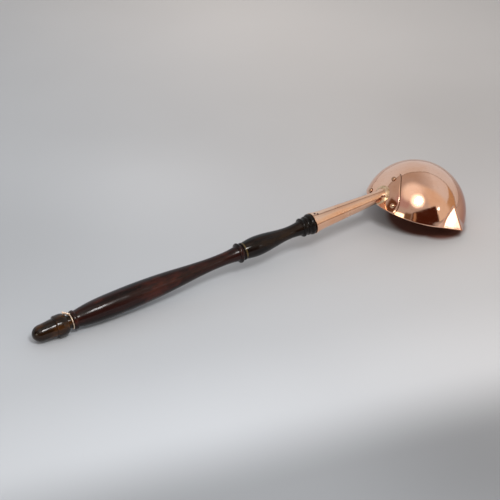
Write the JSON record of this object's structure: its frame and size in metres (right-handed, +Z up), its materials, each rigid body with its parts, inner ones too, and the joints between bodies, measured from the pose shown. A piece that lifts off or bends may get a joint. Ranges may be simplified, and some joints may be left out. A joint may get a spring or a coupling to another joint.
{
  "type": "ladle",
  "caption": "Long copper ladle: deep round bowl with a drawn pouring lip, riveted saddle plate, tapered copper socket and turned wooden handle with an acorn finial.",
  "frame": {"origin": "under the middle of the bounding box, on the surface that the ladle lies on", "axes": "+X runs from the finial to the bowl and +Z is up, over the base of the upturned bowl"},
  "size_m": [0.6344, 0.1504, 0.0837],
  "materials": {
    "copper": "polished copper",
    "dark_copper": "dulled copper",
    "brass": "dulled brass",
    "brown_wood": "dark red-brown, waxed to a gloss",
    "black_wood": "near-black, waxed to a gloss"
  },
  "bodies": {
    "root": {"bowl": "copper", "saddle_plate": "copper", "rivet_top": "dark_copper", "rivet_left": "dark_copper", "rivet_right": "dark_copper", "socket": "copper", "braze_fillet": "brass", "socket_nail_1": "dark_copper", "socket_nail_2": "dark_copper", "fore_section": "black_wood", "grip": "brown_wood", "finial": "brown_wood", "neck_wire": "brass"}
  },
  "joints": []
}
